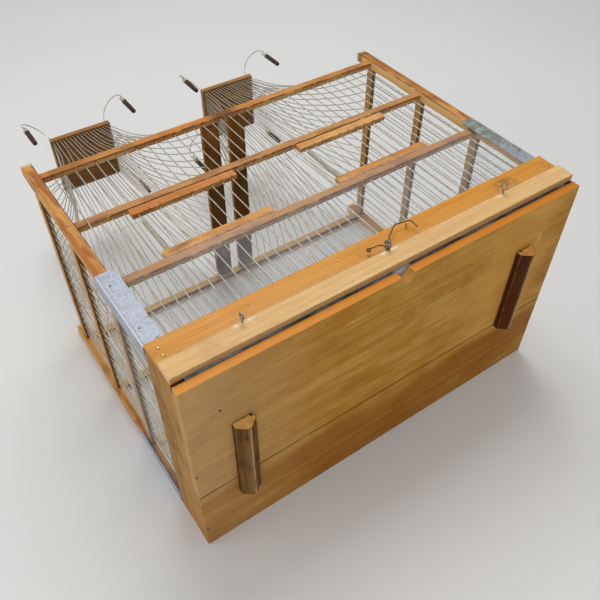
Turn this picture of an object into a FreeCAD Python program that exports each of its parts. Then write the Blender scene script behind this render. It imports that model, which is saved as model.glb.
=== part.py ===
import FreeCAD, Part
import Sketcher
import math
import os
import re

# A twin pagoda bird cage: a shallow plywood base with a sliding tray, a light
# frame of posts and rails strung with wires, two sprung doors in the front,
# glass seed guards, and two roof towers with hanging pendants.
# Millimetres. +Z up, the front faces -Y, the origin is on the floor under the centre.

Vector = FreeCAD.Vector
ACROSS = Vector(1, 0, 0)
FRONT_TO_BACK = Vector(0, 1, 0)
UP = Vector(0, 0, 1)
os.makedirs("parts", exist_ok=True)
doc = FreeCAD.newDocument("pagoda_cage")

SIZES = {
    # whole cage
    "cage_length": 500,
    "cage_depth": 286,
    "joint_gap": 0.3,
    # runner feet under the floor
    "runner_height": 15,
    "runner_length": 126,
    "runner_base": 24,
    "runner_side": 7,
    "runner_foot": 4,
    "left_runner_inset": 57,
    "right_runner_inset": 70,
    "left_runner_shift": 0,
    "right_runner_shift": -23,
    # floor planks and the boards round the base
    "plank_thickness": 10,
    "front_plank_width": 180,
    "middle_plank_width": 57,
    "notch_diameter": 16,
    "notch_through": 7,
    "notch_reach": 12.5,
    "side_height": 53,
    "side_thickness": 12,
    # posts and rails
    "post_width": 13.5,
    "post_depth": 12,
    "post_height": 321,
    "tenon_width": 6,
    "tenon_depth": 7,
    "tenon_length": 16,
    "rail_height": 11.5,
    "rail_depth": 7,
    "rail_recess": 3,
    "low_rail_rise": 82.5,
    "mid_rail_rise": 185,
    "top_rail_rise": 288.5,
    "sill_height": 18,
    "sill_depth": 10,
    "sill_drop": 7,
    # wires
    "wire_diameter": 1.5,
    "wire_seat": 5,
    "front_wire_count": 36,
    "end_wire_count": 20,
    # front strip, drawer front and zinc tray
    "strip_thickness": 5,
    "strip_height": 26.7,
    "drawer_slot": 2,
    "drawer_height": 22,
    "drawer_thickness": 8,
    "tray_height": 20,
    "tray_sheet": 1,
    "tray_play": 1,
    # screw eyes and the wire latch
    "left_eye_inset": 83,
    "right_eye_inset": 90,
    "eye_rise": 20.5,
    "right_eye_turn": 30,
    "eye_shank_length": 5.5,
    "eye_shank_diameter": 2.2,
    "eye_ring_diameter": 8,
    "eye_wire": 1.8,
    "latch_wire": 1.4,
    "latch_offset": 2.2,
    "latch_arm_length": 25,
    "latch_arm_rise": 21,
    "latch_hook_length": 20.5,
    "latch_hook_drop": 12,
    "latch_tail_length": 16,
    "latch_tail_rise": 7.5,
    "latch_loop_diameter": 5,
    "latch_pin_place": 39,
    "latch_pin_reach": 7,
    "pin_diameter": 2.4,
    "running_fit": 0.06,
    # glass guards and their tin corners
    "pane_thickness": 2,
    "pane_play": 0.5,
    "tin_sheet": 0.8,
    "tin_width": 20,
    "tin_height": 105,
    "tin_corner_radius": 4,
    # doors and their springs
    "left_door_first_wire": 5,
    "right_door_first_wire": 22,
    "door_wire_count": 9,
    "door_heel": 7.5,
    "door_toe": 7,
    "door_bar_height": 11,
    "door_play": 0.6,
    "spring_wire": 0.9,
    "spring_diameter": 4.6,
    "left_spring_turns": 6,
    "left_spring_length": 54,
    "left_spring_leg": 36,
    "right_spring_turns": 8,
    "right_spring_length": 61,
    "right_spring_leg": 54,
    # roof towers
    "slat_width": 24,
    "slat_gap": 14,
    "slat_thickness": 6,
    "cap_length": 92,
    "cap_depth": 90,
    "cap_thickness": 8,
    "cap_rise": 207,
    "cap_offset": 125,
    "cap_margin": 3.5,
    "side_fan_count": 18,
    "fan_bend": 40,
    "fan_runs": 4,
    "roof_wire": 1.3,
    # corner curls and their pendants
    "curl_inset": 4,
    "curl_wire": 1.4,
    "curl_radius": 23.5,
    "curl_runs": 10,
    "curl_eye_radius": 2.6,
    "curl_eye_runs": 7,
    "curl_eye_step": 36,
    "link_radius": 2.3,
    "link_wire": 1,
    "link_play": 0.4,
    "ferrule_diameter": 8,
    "ferrule_length": 6,
    "pendant_diameter": 7,
    "pendant_length": 33,
    # fasteners
    "pin_inset": 100,
    "middle_pin_place": -48,
    "screw_diameter": 4.2,
    "screw_head": 1,
    "screw_bite": 2,
    "nail_diameter": 2.6,
    "nail_head": 0.6,
}

# Places that several pieces share, each worked out once from the sizes above.
PLACES = {
    "half_length": "cage_length / 2",
    "front_reach": "joint_gap + drawer_thickness + eye_shank_length + eye_ring_diameter - eye_wire",
    "centre_line": "(front_reach - tin_sheet) / 2",
    "front_plane": "centre_line - cage_depth / 2",
    "back_plane": "centre_line + cage_depth / 2",
    "floor_top": "runner_height + plank_thickness",
    "side_top": "floor_top + side_height",
    "low_rail": "side_top + low_rail_rise",
    "mid_rail": "side_top + mid_rail_rise",
    "top_rail": "side_top + top_rail_rise",
    "low_rail_top": "low_rail + rail_height",
    "mid_rail_top": "mid_rail + rail_height",
    "roof_base": "top_rail + rail_height",
    "front_span": "cage_length - 2 * post_width",
    "end_span": "cage_depth - 2 * post_depth",
    "front_pitch": "front_span / (front_wire_count + 1)",
    "end_pitch": "end_span / (end_wire_count + 1)",
    "wire_inset": "rail_recess + rail_depth / 2",
    "front_wire_line": "front_plane + wire_inset",
    "back_wire_line": "back_plane - wire_inset",
    "end_wire_line": "half_length - wire_inset",
    "sill_top": "side_top - sill_drop",
    "drawer_bottom": "floor_top + drawer_slot",
    "drawer_top": "drawer_bottom + drawer_height",
    "drawer_back": "front_plane - joint_gap",
    "drawer_face": "drawer_back - drawer_thickness",
    "strip_bottom": "drawer_top + joint_gap",
    "strip_face": "front_plane - strip_thickness",
    "left_eye": "left_eye_inset - half_length",
    "right_eye": "half_length - right_eye_inset",
    "eye_level": "drawer_bottom + eye_rise",
    "latch_line": "drawer_face - latch_offset",
    "tray_floor": "floor_top + joint_gap",
    "tray_half": "half_length - side_thickness - tray_play",
    "tray_back": "back_plane - side_thickness - tray_play",
    "left_hinge": "post_width - half_length + left_door_first_wire * front_pitch",
    "right_hinge": "post_width - half_length + right_door_first_wire * front_pitch",
    "door_length": "door_heel + door_wire_count * front_pitch + door_toe",
    "door_bottom": "low_rail_top + door_play",
    "door_sill": "door_bottom + door_bar_height",
    "door_head": "mid_rail - door_play - door_bar_height",
    "slat_centre": "(slat_gap + slat_width) / 2",
    "slat_span": "cage_depth - 2 * (rail_recess + rail_depth)",
    "cap_bottom": "roof_base + cap_rise",
    "cap_top": "cap_bottom + cap_thickness",
}

sheet = doc.addObject("Spreadsheet::Sheet", "Sizes")
for row, (name, value) in enumerate(SIZES.items(), start=1):
    sheet.set(f"A{row}", name)
    sheet.set(f"B{row}", str(value))
    sheet.setAlias(f"B{row}", name)

places = doc.addObject("App::VarSet", "Places")


def formula(text):
    """Point every size or place named in the text at its cell or its shared value."""
    def owner(match):
        word = match.group()
        if word in SIZES:
            return f"Sizes.{word}"
        return f"Places.{word}" if word in PLACES else word
    return re.sub(r"[a-z][a-z_]*", owner, str(text))


for name, text in PLACES.items():
    places.addProperty("App::PropertyFloat", name)
    places.setExpression(name, formula(text))
doc.recompute()


def mm(name):
    """The present number of a size or a shared place."""
    return float(sheet.get(name)) if name in SIZES else getattr(places, name)


def bind(piece, **texts):
    """Tie properties to formulas; x, y and z stand for the placement."""
    short = {"x": "Placement.Base.x", "y": "Placement.Base.y", "z": "Placement.Base.z"}
    for prop, text in texts.items():
        piece.setExpression(short.get(prop, prop), formula(text))
    return piece


nodes = []


def node(piece, label):
    """Name a finished sub-part; its label becomes its file's name."""
    piece.Label = label
    nodes.append(piece)
    return piece


def block(name, length, width, height, x, y, z):
    """A squared piece of timber or sheet, given by its size and its lowest corner."""
    box = doc.addObject("Part::Box", name)
    return bind(box, Length=length, Width=width, Height=height, x=x, y=y, z=z)


def rod(name, diameter, height, x, y, z):
    """A round upright rod."""
    cylinder = doc.addObject("Part::Cylinder", name)
    return bind(cylinder, Radius=f"({diameter}) / 2", Height=height, x=x, y=y, z=z)


def prism(name, sides, diameter, height, x, y, z):
    """A many-sided upright rod."""
    piece = doc.addObject("Part::Prism", name)
    piece.Polygon = sides
    return bind(piece, Circumradius=f"({diameter}) / 2", Height=height, x=x, y=y, z=z)


def peg(name, diameter, length, x, y, z):
    """A nail or screw lying front to back, its head end at y and its shank behind it."""
    piece = prism(name, 8, diameter, length, x, y, z)
    piece.Placement.Rotation = FreeCAD.Rotation(Vector(1, 0, 0), -90)
    return piece


def wire_stick(name, x, y, foot, head):
    """One straight upright wire from the foot level to the head level."""
    return prism(name, 6, "wire_diameter", f"{head} - ({foot})", x, y, foot)


def group(label, pieces):
    """Like pieces that share one node, each still a separate solid."""
    compound = doc.addObject("Part::Compound", label)
    compound.Links = pieces
    return node(compound, label)


def cut(label, base, tool):
    """The base piece with the tool's shape taken out of it."""
    result = doc.addObject("Part::Cut", label)
    result.Base = base
    result.Tool = tool
    return result


def gathered(name, pieces):
    """Several cutting shapes held as one tool."""
    compound = doc.addObject("Part::Compound", name)
    compound.Links = pieces
    return compound


def profile(body, role, corners):
    """A closed straight-sided sketch whose corners are each held by two distances."""
    sketch = body.newObject("Sketcher::SketchObject", f"{body.Name}_profile")
    plane = next(feature for feature in body.Origin.OriginFeatures if feature.Role == role)
    sketch.AttachmentSupport = [(plane, "")]
    sketch.MapMode = "FlatFace"
    count = len(corners)
    start = [Vector(math.cos(math.tau * k / count), math.sin(math.tau * k / count)) for k in range(count)]
    for k in range(count):
        sketch.addGeometry(Part.LineSegment(start[k], start[(k + 1) % count]))
    for k in range(count):
        sketch.addConstraint(Sketcher.Constraint("Coincident", k, 2, (k + 1) % count, 1))
    for k, (across, along) in enumerate(corners):
        for kind, text in (("DistanceX", across), ("DistanceY", along)):
            index = sketch.addConstraint(Sketcher.Constraint(kind, -1, 1, k, 1, 1.0))
            sketch.setExpression(f"Constraints[{index}]", formula(text))
    return sketch


def padded(label, role, corners, length):
    """A body made by padding one straight-sided profile."""
    body = doc.addObject("PartDesign::Body", label)
    sketch = profile(body, role, corners)
    pad = body.newObject("PartDesign::Pad", f"{label}_pad")
    pad.Profile = sketch
    pad.setExpression("Length", formula(length))
    doc.recompute()
    return body


def ring_points(middle, first_way, second_way, radius, sides):
    """The corners of a regular many-sided ring, back to its first corner."""
    turns = [math.tau * k / sides for k in range(sides + 1)]
    return [middle + (first_way * math.cos(turn) + second_way * math.sin(turn)) * radius for turn in turns]


def slab(outline, depth):
    """A closed outline pushed along the depth into a solid."""
    return Part.Face(Part.makePolygon(outline)).extrude(depth)


def bent_wire(points, normal, thickness):
    """A square wire bent in one plane through the points, mitred at each bend."""
    headings = [(after - before).normalize() for before, after in zip(points, points[1:])]
    outer = []
    inner = []
    for k, point in enumerate(points):
        before = headings[max(k - 1, 0)]
        after = headings[min(k, len(headings) - 1)]
        across = (before + after).cross(normal).normalize()
        reach = across * (thickness / 2 / across.dot(before.cross(normal)))
        outer.append(point + reach)
        inner.append(point - reach)
    half = normal * (thickness / 2)
    outline = [point - half for point in outer + inner[::-1] + outer[:1]]
    return slab(outline, half * 2)


def shaped(label, shape):
    """A node whose solids are built directly from the sheet's numbers."""
    piece = doc.addObject("Part::Feature", label)
    piece.Shape = shape
    return node(piece, label)


# Runner feet: two battens under the floor, front to back, planed off to a narrow foot.
RUNNER_PROFILE = [
    ("-runner_foot / 2", "0"),
    ("runner_foot / 2", "0"),
    ("runner_base / 2", "runner_height - runner_side"),
    ("runner_base / 2", "runner_height"),
    ("-runner_base / 2", "runner_height"),
    ("-runner_base / 2", "runner_height - runner_side"),
]
for side, sign in (("left", "-"), ("right", "")):
    runner = padded(f"{side}_runner", "XZ_Plane", RUNNER_PROFILE, "runner_length")
    bind(runner, x=f"{sign}(half_length - {side}_runner_inset)",
         y=f"centre_line + {side}_runner_shift + runner_length / 2")
    node(runner, f"{side}_runner")

# Floor: three planks edge to edge; the front one has a finger scoop for the tray.
plank_start = "front_plane"
front_blank = block("front_plank_blank", "cage_length", "front_plank_width", "plank_thickness",
                    "-half_length", plank_start, "runner_height")
scoop_slope = math.atan2(mm("plank_thickness"), mm("notch_reach") - mm("notch_through"))
scoop_radius = mm("notch_diameter") / 2
scoop_run = Vector(0, math.cos(scoop_slope), -math.sin(scoop_slope))
scoop_roof = Vector(0, mm("notch_through") + mm("front_plane"), mm("floor_top"))
scoop_axis = scoop_roof - Vector(0, math.sin(scoop_slope), math.cos(scoop_slope)) * scoop_radius
scoop = bind(doc.addObject("Part::Cylinder", "finger_scoop"), Radius="notch_diameter / 2",
             Height="4 * notch_diameter")
scoop.Placement = FreeCAD.Placement(scoop_axis - scoop_run * (2 * scoop_radius),
                                    FreeCAD.Rotation(Vector(0, 0, 1), scoop_run))
node(cut("base_front_plank", front_blank, scoop), "base_front_plank")
node(block("base_middle_plank", "cage_length", "middle_plank_width", "plank_thickness",
           "-half_length", f"{plank_start} + front_plank_width", "runner_height"), "base_middle_plank")
node(block("base_back_plank", "cage_length", "cage_depth - front_plank_width - middle_plank_width",
           "plank_thickness", "-half_length", f"{plank_start} + front_plank_width + middle_plank_width",
           "runner_height"), "base_back_plank")

# End boards: full depth, mortised for the four post tenons.
for side, sign in (("left", -1), ("right", 1)):
    outer = "-half_length" if sign < 0 else "half_length - side_thickness"
    blank = block(f"{side}_end_blank", "side_thickness", "cage_depth", "side_height", outer, "front_plane",
                  "floor_top")
    mortises = []
    for place, start in (("front", "front_plane + (post_depth - tenon_depth) / 2"),
                         ("back", "back_plane - (post_depth + tenon_depth) / 2")):
        mortises.append(block(f"{side}_{place}_mortise", "tenon_width", "tenon_depth", "tenon_length",
                              f"{outer} + (side_thickness - tenon_width) / 2", start,
                              "side_top - tenon_length"))
    node(cut(f"{side}_end_board", blank, gathered(f"{side}_mortises", mortises)), f"{side}_end_board")

# Back board and the sill behind the front strip close the base box.
node(block("back_board", "cage_length - 2 * side_thickness", "side_thickness", "side_height",
           "side_thickness - half_length", "back_plane - side_thickness", "floor_top"), "back_board")
node(block("front_sill", "cage_length - 2 * side_thickness", "sill_depth", "sill_height",
           "side_thickness - half_length", "front_plane", "sill_top - sill_height"), "front_sill")
node(block("front_strip", "cage_length", "strip_thickness", "strip_height", "-half_length", "strip_face",
           "strip_bottom"), "front_strip")

# Posts: square battens that stand on the end boards, tenoned into them.
for side, left in (("left", "-half_length"), ("right", "half_length - post_width")):
    board_edge = "-half_length" if side == "left" else "half_length - side_thickness"
    for place, near in (("front", "front_plane"), ("back", "back_plane - post_depth")):
        label = f"{place}_{side}_post"
        shaft = block(f"{label}_shaft", "post_width", "post_depth", "post_height", left, near, "side_top")
        tenon = block(f"{label}_tenon", "tenon_width", "tenon_depth", "tenon_length",
                      f"{board_edge} + (side_thickness - tenon_width) / 2",
                      f"{near} + (post_depth - tenon_depth) / 2", "side_top - tenon_length")
        post = doc.addObject("Part::Fuse", label)
        post.Base = shaft
        post.Tool = tenon
        node(post, label)

# Rails: thin laths between the posts at three levels on all four sides.
RAIL_LEVELS = (("low", "low_rail"), ("mid", "mid_rail"), ("top", "top_rail"))
for level, height in RAIL_LEVELS:
    node(block(f"front_{level}_rail", "front_span", "rail_depth", "rail_height", "-front_span / 2",
               "front_plane + rail_recess", height), f"front_{level}_rail")
group("back_rails", [block(f"back_{level}_rail", "front_span", "rail_depth", "rail_height", "-front_span / 2",
                           "back_plane - rail_recess - rail_depth", height) for level, height in RAIL_LEVELS])
for side, inner in (("left", "rail_recess - half_length"),
                    ("right", "half_length - rail_recess - rail_depth")):
    group(f"{side}_rails", [block(f"{side}_{level}_rail", "rail_depth", "end_span", "rail_height", inner,
                                  "centre_line - end_span / 2", height) for level, height in RAIL_LEVELS])

# Front wires: full height beside the doors, short above and below them.
front_wires = []
door_first = (int(mm("left_door_first_wire")), int(mm("right_door_first_wire")))
door_count = int(mm("door_wire_count"))
door_wires = {first + k for first in door_first for k in range(1, door_count + 1)}
blind = "wire_seat / 2"
wire_head = f"roof_base - {blind}"
wire_foot = "sill_top - wire_seat"
for k in range(1, int(mm("front_wire_count")) + 1):
    across = f"post_width - half_length + {k} * front_pitch"
    if k in door_first:
        front_wires.append(rod(f"hinge_wire_{k}", "wire_diameter", f"{wire_head} - ({wire_foot})", across,
                               "front_wire_line", wire_foot))
        continue
    runs = [(wire_foot, wire_head)]
    if k in door_wires:
        runs = [(wire_foot, f"low_rail_top - {blind}"), (f"mid_rail + {blind}", wire_head)]
    for run, (foot, head) in enumerate(runs):
        front_wires.append(wire_stick(f"front_wire_{k}_{run}", across, "front_wire_line", foot, head))
group("front_wires", front_wires)

# Back and end wires: full height, let into the boards below and the top rails above.
group("back_wires", [wire_stick(f"back_wire_{k}", f"post_width - half_length + {k} * front_pitch",
                                "back_wire_line", "side_top - wire_seat", wire_head)
                     for k in range(1, int(mm("front_wire_count")) + 1)])
for side, sign in (("left", "-"), ("right", "")):
    group(f"{side}_end_wires", [wire_stick(f"{side}_end_wire_{k}", f"{sign}end_wire_line",
                                           f"front_plane + post_depth + {k} * end_pitch",
                                           "side_top - wire_seat", wire_head)
                                for k in range(1, int(mm("end_wire_count")) + 1)])

# Glass seed guards stand in the recess before the rails, below the doors.
node(block("front_pane", "front_span - 2 * pane_play", "pane_thickness", "low_rail_top - sill_top",
           "pane_play - front_span / 2", "front_plane + (rail_recess - pane_thickness) / 2", "sill_top"),
     "front_pane")
node(block("back_pane", "front_span - 2 * pane_play", "pane_thickness", "low_rail_top - side_top",
           "pane_play - front_span / 2", "back_plane - (rail_recess + pane_thickness) / 2", "side_top"),
     "back_pane")
for side, outer in (("left", "(rail_recess - pane_thickness) / 2 - half_length"),
                    ("right", "half_length - (rail_recess + pane_thickness) / 2")):
    node(block(f"{side}_pane", "pane_thickness", "end_span - 2 * pane_play", "low_rail_top - side_top", outer,
               "centre_line + pane_play - end_span / 2", "side_top"), f"{side}_pane")

# Tin corners: folded angles nailed to the posts, lapping the edges of the glass.
TIN_PROFILE = [
    ("0", "0"),
    ("tin_width + tin_sheet", "0"),
    ("tin_width + tin_sheet", "tin_sheet"),
    ("tin_sheet", "tin_sheet"),
    ("tin_sheet", "tin_width + tin_sheet"),
    ("0", "tin_width + tin_sheet"),
]
for label, across, near, turn in (("front_left", "-half_length - tin_sheet", "front_plane - tin_sheet", 0),
                                  ("front_right", "half_length + tin_sheet", "front_plane - tin_sheet", 90),
                                  ("back_right", "half_length + tin_sheet", "back_plane + tin_sheet", 180),
                                  ("back_left", "-half_length - tin_sheet", "back_plane + tin_sheet", 270)):
    tin = padded(f"{label}_tin", "XY_Plane", TIN_PROFILE, "tin_height")
    pad = tin.Tip
    lip_edges = []
    for index, edge in enumerate(pad.Shape.Edges, start=1):
        middle = edge.CenterOfMass
        at_top = abs(middle.z - mm("tin_height")) < mm("tin_sheet") / 4
        at_lip = max(middle.x, middle.y) > mm("tin_width") + mm("tin_sheet") / 2
        if at_top and at_lip:
            lip_edges.append(f"Edge{index}")
    fillet = tin.newObject("PartDesign::Fillet", f"{label}_tin_corners")
    fillet.Base = (pad, lip_edges)
    fillet.setExpression("Radius", formula("tin_corner_radius"))
    tin.Tip = fillet
    tin.Placement.Rotation = FreeCAD.Rotation(Vector(0, 0, 1), turn)
    bind(tin, x=across, y=near, z="side_top")
    node(tin, f"{label}_tin")

# Zinc tray: a folded pan that slides on the floor between the end boards.
pan_outer = block("tray_outer", "2 * tray_half", "tray_back - drawer_back", "tray_height", "-tray_half",
                  "drawer_back", "tray_floor")
pan_inner = block("tray_inner", "2 * (tray_half - tray_sheet)", "tray_back - drawer_back - 2 * tray_sheet",
                  "tray_height", "tray_sheet - tray_half", "drawer_back + tray_sheet",
                  "tray_floor + tray_sheet")
node(cut("zinc_tray", pan_outer, pan_inner), "zinc_tray")
node(block("drawer_front", "cage_length", "drawer_thickness", "drawer_height", "-half_length", "drawer_face",
           "drawer_bottom"), "drawer_front")

# Screw eyes along the drawer front: a ring on a shank, the right one turned in a little further.
eye_shapes = []
eye_reach = mm("eye_shank_length") + mm("drawer_thickness") / 2
outer_radius = mm("eye_ring_diameter") / 2
for across, turn in ((mm("left_eye"), 0), (0, 0), (mm("right_eye"), mm("right_eye_turn"))):
    slant = math.radians(turn)
    ring_rise = UP * math.cos(slant) - ACROSS * math.sin(slant)
    ring_depth = (ACROSS * math.cos(slant) + UP * math.sin(slant)) * mm("eye_wire")
    tip = Vector(across, mm("drawer_face") + mm("drawer_thickness") / 2, mm("eye_level"))
    shank = Part.makeCylinder(mm("eye_shank_diameter") / 2, eye_reach, tip, -FRONT_TO_BACK)
    hub = tip - FRONT_TO_BACK * (eye_reach + outer_radius - mm("eye_wire")) - ring_depth / 2
    rings = [slab(ring_points(hub, FRONT_TO_BACK, ring_rise, radius, 12), ring_depth)
             for radius in (outer_radius, outer_radius - mm("eye_wire"))]
    eye_shapes.append(rings[0].cut(rings[1]).fuse(shank.cut(rings[1])).removeSplitter())
shaped("drawer_eyes", Part.makeCompound(eye_shapes))


# Wire latch: turns on the middle eye's shank and hooks over the latch pin.
def latch_point(across, rise):
    """A point in the latch's own plane, measured from the middle eye."""
    return Vector(across, mm("latch_line"), mm("eye_level") + rise)


latch_depth = FRONT_TO_BACK * mm("latch_wire")
pivot = latch_point(0, 0)
pivot_bore = mm("eye_shank_diameter") / 2 + mm("running_fit")
arm_top = latch_point(mm("latch_arm_length"), mm("latch_arm_rise"))
hook_top = arm_top + ACROSS * mm("latch_hook_length")
hook_tip = hook_top - UP * mm("latch_hook_drop")
tail_end = latch_point(-mm("latch_tail_length"), mm("latch_tail_rise"))
loop_outer = mm("latch_loop_diameter") / 2
loop_middle = tail_end + (tail_end - pivot).normalize() * (loop_outer - mm("latch_wire") / 2)
latch = bent_wire([tail_end, pivot, arm_top, hook_top, hook_tip], FRONT_TO_BACK, mm("latch_wire"))
for middle, radius in ((pivot, pivot_bore + mm("latch_wire")), (loop_middle, loop_outer)):
    latch = latch.fuse(slab(ring_points(middle - latch_depth / 2, ACROSS, UP, radius, 12), latch_depth))
loop_hole = ring_points(loop_middle - latch_depth / 2, ACROSS, UP, loop_outer - mm("latch_wire"), 12)
latch = latch.cut(slab(loop_hole, latch_depth))
latch = latch.cut(Part.makeCylinder(pivot_bore, mm("latch_wire"), pivot - latch_depth / 2, FRONT_TO_BACK))
shaped("drawer_latch", latch.removeSplitter())

# Doors: two bars threaded on a hinge wire, with their own wires between.
for side in ("left", "right"):
    heel = f"{side}_hinge - door_heel"
    bars = []
    for bar, level in (("bottom", "door_bottom"), ("top", "door_head")):
        stock = block(f"{side}_door_{bar}_stock", "door_length", "rail_depth", "door_bar_height", heel,
                      "front_plane + rail_recess", level)
        bore = rod(f"{side}_door_{bar}_bore", "wire_diameter + 2 * running_fit", "door_bar_height",
                   f"{side}_hinge", "front_wire_line", level)
        bars.append(cut(f"{side}_door_{bar}_bar", stock, bore))
    group(f"{side}_door_bars", bars)
    group(f"{side}_door_wires", [wire_stick(f"{side}_door_wire_{k}", f"{side}_hinge + {k} * front_pitch",
                                            "front_wire_line", f"door_sill - {blind}", f"door_head + {blind}")
                                 for k in range(1, door_count + 1)])


# Door springs: a coil round each hinge wire with a leg laid across the fixed wires.
def biarc(start, start_heading, finish, finish_heading):
    """Two arcs that leave the start and reach the finish along their headings."""
    gap = finish - start
    both = start_heading + finish_heading
    bend = 2 * (1 - start_heading.dot(finish_heading))
    reach = (math.sqrt(gap.dot(both) ** 2 + bend * gap.dot(gap)) - gap.dot(both)) / bend
    first = start + start_heading * reach
    second = finish - finish_heading * reach
    meet = (first + second) / 2
    arcs = []
    for head, corner, tail in ((start, first, meet), (meet, second, finish)):
        chord_middle = (head + tail) / 2
        lean = (tail - head).Length / 2 / (corner - head).Length
        arcs.append(Part.Arc(head, chord_middle + (corner - chord_middle) * (lean / (1 + lean)), tail))
    return [arc.toShape() for arc in arcs]


def coil_spring(axis, foot, turns, length, leg):
    """An open coil climbing from the foot, with a short toe below and a long leg above."""
    radius = mm("spring_diameter") / 2
    climb = length / turns
    def spot(turn):
        angle = -math.pi / 2 - 2 * math.pi * turn
        return axis + Vector(radius * math.cos(angle), radius * math.sin(angle), foot + climb * turn)
    def heading(turn):
        angle = -math.pi / 2 - 2 * math.pi * turn
        rise = climb / (2 * math.pi) if 0 < turn < turns else 0
        return Vector(radius * math.sin(angle), -radius * math.cos(angle), rise).normalize()
    toe = spot(0) - heading(0) * mm("spring_wire")
    edges = [Part.LineSegment(toe, spot(0)).toShape()]
    for step in range(2 * turns):
        edges += biarc(spot(step / 2), heading(step / 2), spot(step / 2 + 0.5), heading(step / 2 + 0.5))
    edges.append(Part.LineSegment(spot(turns), spot(turns) + heading(turns) * leg).toShape())
    first_way = (FRONT_TO_BACK + UP).normalize()
    second_way = (UP - FRONT_TO_BACK).normalize()
    section = Part.makePolygon(ring_points(toe, first_way, second_way, mm("spring_wire") / math.sqrt(2), 4))
    samples = [point for edge in edges[1:-1] for point in edge.discretize(5)[:-1]]
    per_turn = len(samples) // turns
    nearest = min((samples[i] - samples[j]).Length for i in range(0, len(samples), 3)
                  for j in range(i + per_turn // 2, len(samples)))
    coil = Part.Wire(edges).makePipeShell([section], True, False)
    return coil, nearest - mm("spring_wire")


springs = []
for side in ("left", "right"):
    axis = Vector(mm(f"{side}_hinge"), mm("front_wire_line"), 0)
    foot = mm("door_sill") + mm("joint_gap") + mm("spring_wire")
    coil, gap = coil_spring(axis, foot, int(mm(f"{side}_spring_turns")), mm(f"{side}_spring_length"),
                            mm(f"{side}_spring_leg"))
    print(f"{side} spring: least gap between turns {gap:.2f} mm")
    springs.append(coil)
shaped("door_springs", Part.makeCompound(springs))

# Valley slats: two boards front to back between the towers, with a slot between them.
for side, start in (("left", "-slat_centre - slat_width / 2"), ("right", "slat_centre - slat_width / 2")):
    node(block(f"{side}_valley_slat", "slat_width", "slat_span", "slat_thickness", start,
               "centre_line - slat_span / 2", "roof_base - slat_thickness"), f"{side}_valley_slat")

# Caps: a small flat board at the top of each tower, drilled underneath for the roof wires.
for side, centre in (("left", "-cap_offset"), ("right", "cap_offset")):
    node(block(f"{side}_cap", "cap_length", "cap_depth", "cap_thickness", f"{centre} - cap_length / 2",
               "centre_line - cap_depth / 2", "cap_bottom"), f"{side}_cap")


# Roof wires: fans that sag inward from each cap edge down to the rails and the valley slat.
def fan_wire(head, foot):
    """One roof wire on a shallow arc that sags inward and down, in a few straight runs."""
    chord = foot - head
    bend = math.radians(mm("fan_bend"))
    level = Vector(chord.x, chord.y, 0).normalize()
    inward = (level * chord.z - UP * chord.dot(level)).normalize()
    along = (foot - head).normalize()
    radius = chord.Length / 2 / math.sin(bend / 2)
    centre = (head + foot) / 2 - inward * (radius * math.cos(bend / 2))
    angles = spread(int(mm("fan_runs")) + 1, -bend / 2, bend / 2)
    points = [centre + (inward * math.cos(angle) + along * math.sin(angle)) * radius for angle in angles]
    return bent_wire(points, along.cross(inward), mm("roof_wire"))


def spread(count, low, high):
    """Evenly spaced values from low to high."""
    return [low + (high - low) * k / (count - 1) for k in range(count)]


head_level = mm("cap_bottom") + mm("wire_seat") / 2
foot_level = mm("roof_base") - mm("wire_seat") / 4
half_front = int(mm("front_wire_count")) // 2
side_count = int(mm("side_fan_count"))
middle = mm("centre_line")
for side, sign in (("left", -1), ("right", 1)):
    centre = sign * mm("cap_offset")
    edge_across = mm("cap_length") / 2 - mm("cap_margin")
    edge_along = mm("cap_depth") / 2 - mm("cap_margin")
    side_edge = edge_along * (1 - 2 / side_count)
    first = sign * (mm("half_length") - mm("post_width") - mm("front_pitch"))
    last = first - sign * mm("front_pitch") * (half_front - 1)
    reach = mm("end_span") / 2 - mm("end_pitch")
    fans = []
    for edge, landing in ((middle - edge_along, mm("front_wire_line")),
                          (middle + edge_along, mm("back_wire_line"))):
        heads = spread(half_front, centre + sign * edge_across, centre - sign * edge_across)
        for head, foot in zip(heads, spread(half_front, first, last)):
            fans.append(fan_wire(Vector(head, edge, head_level), Vector(foot, landing, foot_level)))
    for edge, landing in ((centre + sign * edge_across, sign * mm("end_wire_line")),
                          (centre - sign * edge_across, sign * mm("slat_centre"))):
        heads = spread(side_count, middle - side_edge, middle + side_edge)
        for head, foot in zip(heads, spread(side_count, middle - reach, middle + reach)):
            fans.append(fan_wire(Vector(edge, head, head_level), Vector(landing, foot, foot_level)))
    shaped(f"{side}_roof_wires", Part.makeCompound(fans))


# Corner curls: a wire from each cap corner that arches outward to a small hanging eye.
def curl_foot(centre, lean, facing):
    """Where a curl stands on its cap corner, and its level outward heading."""
    across = mm("cap_length") / 2 - mm("curl_inset")
    along = mm("cap_depth") / 2 - mm("curl_inset")
    foot = Vector(centre + lean * across, mm("centre_line") + facing * along, mm("cap_top"))
    return foot, Vector(lean, facing, 0).normalize()


def curl_eye(foot, outward):
    """The middle of a curl's eye, just inside the arch's far end."""
    return foot + outward * (2 * mm("curl_radius") - mm("curl_eye_radius"))


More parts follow.
